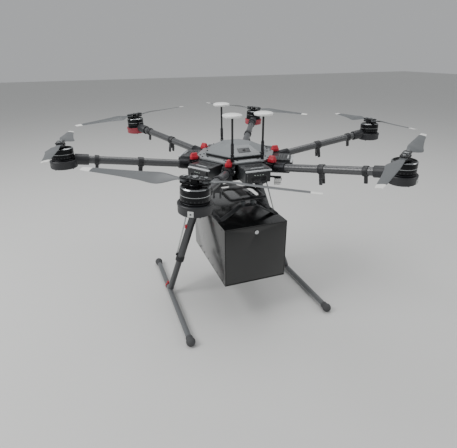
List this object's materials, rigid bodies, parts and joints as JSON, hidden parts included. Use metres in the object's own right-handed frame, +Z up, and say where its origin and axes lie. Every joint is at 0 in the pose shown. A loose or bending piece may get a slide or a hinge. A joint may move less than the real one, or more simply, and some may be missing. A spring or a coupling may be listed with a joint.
{
  "type": "folding cargo hexacopter",
  "caption": "Folding-arm multirotor with a hexagonal hub, slide-in batteries, folding blades, antenna masts, retracting skid legs and a hanging payload case with a drop-down door.",
  "frame": {"origin": "centre of the payload bolt pattern on the underside of the lower deck", "axes": "+X to the drone's right, +Y towards its nose, +Z up"},
  "size_m": [1.213, 1.3524, 0.7265],
  "materials": {
    "antenna": "gloss",
    "battery_case": "fine grain",
    "black_housing": "satin",
    "bracket_metal": "satin",
    "button": "satin",
    "carbon_plate": "satin",
    "carbon_tube": "satin",
    "case_sheet": "semi-gloss",
    "cover_grey": "satin",
    "frame_plate": "anodised",
    "gear_tube": "satin",
    "lock_metal": "polished",
    "motor_bell": "anodised",
    "propeller": "satin",
    "red_plastic": "satin",
    "rubber": "matt",
    "white_plastic": "satin"
  },
  "bodies": {
    "airframe": {"centre_frame": "frame_plate", "lower_deck": "carbon_plate", "top_cover": "cover_grey", "cover_gasket": "rubber", "electronics": "white_plastic", "damper_plate": "carbon_plate", "case_bracket": "bracket_metal", "case_shell": "case_sheet"},
    "arm_right": {"arm_right": "carbon_tube", "motor_pod_right": "black_housing"},
    "rotor_right": {"rotor_right": "motor_bell"},
    "blade_a_right": {"blade_a_right": "propeller"},
    "blade_b_right": {"blade_b_right": "propeller"},
    "arm_lock_right": {"arm_lock_right": "red_plastic"},
    "arm_front_right": {"arm_front_right": "carbon_tube", "motor_pod_front_right": "black_housing"},
    "rotor_front_right": {"rotor_front_right": "motor_bell"},
    "blade_a_front_right": {"blade_a_front_right": "propeller"},
    "blade_b_front_right": {"blade_b_front_right": "propeller"},
    "arm_lock_front_right": {"arm_lock_front_right": "red_plastic"},
    "arm_front_left": {"arm_front_left": "carbon_tube", "motor_pod_front_left": "black_housing"},
    "rotor_front_left": {"rotor_front_left": "motor_bell"},
    "blade_a_front_left": {"blade_a_front_left": "propeller"},
    "blade_b_front_left": {"blade_b_front_left": "propeller"},
    "arm_lock_front_left": {"arm_lock_front_left": "red_plastic"},
    "arm_left": {"arm_left": "carbon_tube", "motor_pod_left": "black_housing"},
    "rotor_left": {"rotor_left": "motor_bell"},
    "blade_a_left": {"blade_a_left": "propeller"},
    "blade_b_left": {"blade_b_left": "propeller"},
    "arm_lock_left": {"arm_lock_left": "red_plastic"},
    "arm_rear_left": {"arm_rear_left": "carbon_tube", "motor_pod_rear_left": "black_housing"},
    "rotor_rear_left": {"rotor_rear_left": "motor_bell"},
    "blade_a_rear_left": {"blade_a_rear_left": "propeller"},
    "blade_b_rear_left": {"blade_b_rear_left": "propeller"},
    "arm_lock_rear_left": {"arm_lock_rear_left": "red_plastic"},
    "arm_rear_right": {"arm_rear_right": "carbon_tube", "motor_pod_rear_right": "black_housing"},
    "rotor_rear_right": {"rotor_rear_right": "motor_bell"},
    "blade_a_rear_right": {"blade_a_rear_right": "propeller"},
    "blade_b_rear_right": {"blade_b_rear_right": "propeller"},
    "arm_lock_rear_right": {"arm_lock_rear_right": "red_plastic"},
    "battery_1": {"battery_1": "battery_case"},
    "battery_2": {"battery_2": "battery_case"},
    "battery_3": {"battery_3": "battery_case"},
    "battery_4": {"battery_4": "battery_case"},
    "battery_5": {"battery_5": "battery_case"},
    "battery_6": {"battery_6": "battery_case"},
    "antenna_front": {"antenna_mast_front": "antenna"},
    "antenna_rear_left": {"antenna_mast_rear_left": "antenna"},
    "antenna_rear_right": {"antenna_mast_rear_right": "antenna"},
    "leg_right": {"leg_right": "gear_tube", "feet_right": "rubber"},
    "leg_left": {"leg_left": "gear_tube", "feet_left": "rubber"},
    "case_door": {"case_door": "case_sheet"},
    "door_lock": {"door_lock": "lock_metal"},
    "power_button": {"power_button": "button"}
  },
  "joints": [
    {"name": "fold_right", "type": "hinge", "parent": "airframe", "child": "arm_right", "pos_m": [0.155, 0, 0.037], "axis": [0, -1, 0], "range_deg": [-85, 0]},
    {"name": "spin_right", "type": "hinge", "parent": "arm_right", "child": "rotor_right", "pos_m": [0.5665, 0, 0.144], "axis": [0, 0.0436, 0.999], "continuous": true},
    {"name": "blade_a_fold_right", "type": "hinge", "parent": "rotor_right", "child": "blade_a_right", "pos_m": [0.56926, 0.02382, 0.14296], "axis": [0, 0.0436, 0.999], "range_deg": [-90, 90]},
    {"name": "blade_b_fold_right", "type": "hinge", "parent": "rotor_right", "child": "blade_b_right", "pos_m": [0.56374, -0.02382, 0.14504], "axis": [0, 0.0436, 0.999], "range_deg": [-90, 90]},
    {"name": "arm_lock_turn_right", "type": "hinge", "parent": "airframe", "child": "arm_lock_right", "pos_m": [0.154, 0, 0.066], "axis": [0, 0, 1], "range_deg": [0, 90]},
    {"name": "fold_front_right", "type": "hinge", "parent": "airframe", "child": "arm_front_right", "pos_m": [0.0775, 0.13423, 0.037], "axis": [0.866, -0.5, 0], "range_deg": [-58, 0]},
    {"name": "spin_front_right", "type": "hinge", "parent": "arm_front_right", "child": "rotor_front_right", "pos_m": [0.28325, 0.4906, 0.144], "axis": [0.0378, -0.0218, 0.999], "continuous": true},
    {"name": "blade_a_fold_front_right", "type": "hinge", "parent": "rotor_front_right", "child": "blade_a_front_right", "pos_m": [0.26778, 0.50892, 0.14499], "axis": [0.0378, -0.0218, 0.999], "range_deg": [-90, 90]},
    {"name": "blade_b_fold_front_right", "type": "hinge", "parent": "rotor_front_right", "child": "blade_b_front_right", "pos_m": [0.29872, 0.47228, 0.14302], "axis": [0.0378, -0.0218, 0.999], "range_deg": [-90, 90]},
    {"name": "arm_lock_turn_front_right", "type": "hinge", "parent": "airframe", "child": "arm_lock_front_right", "pos_m": [0.077, 0.13337, 0.066], "axis": [0, 0, 1], "range_deg": [0, 90]},
    {"name": "fold_front_left", "type": "hinge", "parent": "airframe", "child": "arm_front_left", "pos_m": [-0.0775, 0.13423, 0.037], "axis": [0.866, 0.5, 0], "range_deg": [-58, 0]},
    {"name": "spin_front_left", "type": "hinge", "parent": "arm_front_left", "child": "rotor_front_left", "pos_m": [-0.28325, 0.4906, 0.144], "axis": [-0.0378, -0.0218, 0.999], "continuous": true},
    {"name": "blade_a_fold_front_left", "type": "hinge", "parent": "rotor_front_left", "child": "blade_a_front_left", "pos_m": [-0.30502, 0.48055, 0.14296], "axis": [-0.0378, -0.0218, 0.999], "range_deg": [-90, 90]},
    {"name": "blade_b_fold_front_left", "type": "hinge", "parent": "rotor_front_left", "child": "blade_b_front_left", "pos_m": [-0.26148, 0.50066, 0.14504], "axis": [-0.0378, -0.0218, 0.999], "range_deg": [-90, 90]},
    {"name": "arm_lock_turn_front_left", "type": "hinge", "parent": "airframe", "child": "arm_lock_front_left", "pos_m": [-0.077, 0.13337, 0.066], "axis": [0, 0, 1], "range_deg": [0, 90]},
    {"name": "fold_left", "type": "hinge", "parent": "airframe", "child": "arm_left", "pos_m": [-0.155, 0, 0.037], "axis": [0, 1, 0], "range_deg": [-85, 0]},
    {"name": "spin_left", "type": "hinge", "parent": "arm_left", "child": "rotor_left", "pos_m": [-0.5665, 0, 0.144], "axis": [0, 0.0436, 0.999], "continuous": true},
    {"name": "blade_a_fold_left", "type": "hinge", "parent": "rotor_left", "child": "blade_a_left", "pos_m": [-0.56884, -0.02386, 0.14504], "axis": [0, 0.0436, 0.999], "range_deg": [-90, 90]},
    {"name": "blade_b_fold_left", "type": "hinge", "parent": "rotor_left", "child": "blade_b_left", "pos_m": [-0.56416, 0.02386, 0.14296], "axis": [0, 0.0436, 0.999], "range_deg": [-90, 90]},
    {"name": "arm_lock_turn_left", "type": "hinge", "parent": "airframe", "child": "arm_lock_left", "pos_m": [-0.154, 0, 0.066], "axis": [0, 0, 1], "range_deg": [0, 90]},
    {"name": "fold_rear_left", "type": "hinge", "parent": "airframe", "child": "arm_rear_left", "pos_m": [-0.0775, -0.13423, 0.037], "axis": [-0.866, 0.5, 0], "range_deg": [-58, 0]},
    {"name": "spin_rear_left", "type": "hinge", "parent": "arm_rear_left", "child": "rotor_rear_left", "pos_m": [-0.28325, -0.4906, 0.144], "axis": [0.0378, -0.0218, 0.999], "continuous": true},
    {"name": "blade_a_fold_rear_left", "type": "hinge", "parent": "rotor_rear_left", "child": "blade_a_rear_left", "pos_m": [-0.26292, -0.50331, 0.14295], "axis": [0.0378, -0.0218, 0.999], "range_deg": [-90, 90]},
    {"name": "blade_b_fold_rear_left", "type": "hinge", "parent": "rotor_rear_left", "child": "blade_b_rear_left", "pos_m": [-0.30358, -0.4779, 0.14505], "axis": [0.0378, -0.0218, 0.999], "range_deg": [-90, 90]},
    {"name": "arm_lock_turn_rear_left", "type": "hinge", "parent": "airframe", "child": "arm_lock_rear_left", "pos_m": [-0.077, -0.13337, 0.066], "axis": [0, 0, 1], "range_deg": [0, 90]},
    {"name": "fold_rear_right", "type": "hinge", "parent": "airframe", "child": "arm_rear_right", "pos_m": [0.0775, -0.13423, 0.037], "axis": [-0.866, -0.5, 0], "range_deg": [-58, 0]},
    {"name": "spin_rear_right", "type": "hinge", "parent": "arm_rear_right", "child": "rotor_rear_right", "pos_m": [0.28325, -0.4906, 0.144], "axis": [-0.0378, -0.0218, 0.999], "continuous": true},
    {"name": "blade_a_fold_rear_right", "type": "hinge", "parent": "rotor_rear_right", "child": "blade_a_rear_right", "pos_m": [0.30267, -0.47654, 0.14504], "axis": [-0.0378, -0.0218, 0.999], "range_deg": [-90, 90]},
    {"name": "blade_b_fold_rear_right", "type": "hinge", "parent": "rotor_rear_right", "child": "blade_b_rear_right", "pos_m": [0.26383, -0.50467, 0.14296], "axis": [-0.0378, -0.0218, 0.999], "range_deg": [-90, 90]},
    {"name": "arm_lock_turn_rear_right", "type": "hinge", "parent": "airframe", "child": "arm_lock_rear_right", "pos_m": [0.077, -0.13337, 0.066], "axis": [0, 0, 1], "range_deg": [0, 90]},
    {"name": "battery_slide_1", "type": "slide", "parent": "airframe", "child": "battery_1", "axis": [-0.866, -0.5, 0], "range_m": [-0.1, 0]},
    {"name": "battery_slide_2", "type": "slide", "parent": "airframe", "child": "battery_2", "axis": [0, -1, 0], "range_m": [-0.1, 0]},
    {"name": "battery_slide_3", "type": "slide", "parent": "airframe", "child": "battery_3", "axis": [0.866, -0.5, 0], "range_m": [-0.1, 0]},
    {"name": "battery_slide_4", "type": "slide", "parent": "airframe", "child": "battery_4", "axis": [0.866, 0.5, 0], "range_m": [-0.1, 0]},
    {"name": "battery_slide_5", "type": "slide", "parent": "airframe", "child": "battery_5", "axis": [0, 1, 0], "range_m": [-0.1, 0]},
    {"name": "battery_slide_6", "type": "slide", "parent": "airframe", "child": "battery_6", "axis": [-0.866, 0.5, 0], "range_m": [-0.1, 0]},
    {"name": "mast_fold_front", "type": "hinge", "parent": "airframe", "child": "antenna_front", "pos_m": [0, 0.151, 0.084], "axis": [-1, 0, 0], "range_deg": [0, 90]},
    {"name": "mast_fold_rear_left", "type": "hinge", "parent": "airframe", "child": "antenna_rear_left", "pos_m": [-0.058, -0.118, 0.084], "axis": [1, 0, 0], "range_deg": [0, 90]},
    {"name": "mast_fold_rear_right", "type": "hinge", "parent": "airframe", "child": "antenna_rear_right", "pos_m": [0.05, -0.114, 0.084], "axis": [1, 0, 0], "range_deg": [0, 90]},
    {"name": "leg_retract_right", "type": "hinge", "parent": "airframe", "child": "leg_right", "pos_m": [0.102, 0.055, -0.041], "axis": [0, -1, 0], "range_deg": [0, 65]},
    {"name": "leg_retract_left", "type": "hinge", "parent": "airframe", "child": "leg_left", "pos_m": [-0.102, 0.055, -0.041], "axis": [0, 1, 0], "range_deg": [0, 65]},
    {"name": "door_drop", "type": "hinge", "parent": "airframe", "child": "case_door", "pos_m": [0, -0.1913, -0.3499], "axis": [1, 0, 0], "range_deg": [0, 90]},
    {"name": "door_lock_turn", "type": "hinge", "parent": "case_door", "child": "door_lock", "pos_m": [0, -0.1948, -0.164], "axis": [0, -1, 0], "range_deg": [0, 90]},
    {"name": "power_press", "type": "slide", "parent": "airframe", "child": "power_button", "axis": [0, 0.4456, -0.8952], "range_m": [0, 0.0015], "stiffness_N_per_m": 400}
  ],
  "couplings": [
    {"joint": "leg_retract_left", "follows": "leg_retract_right", "ratio": 1}
  ]
}
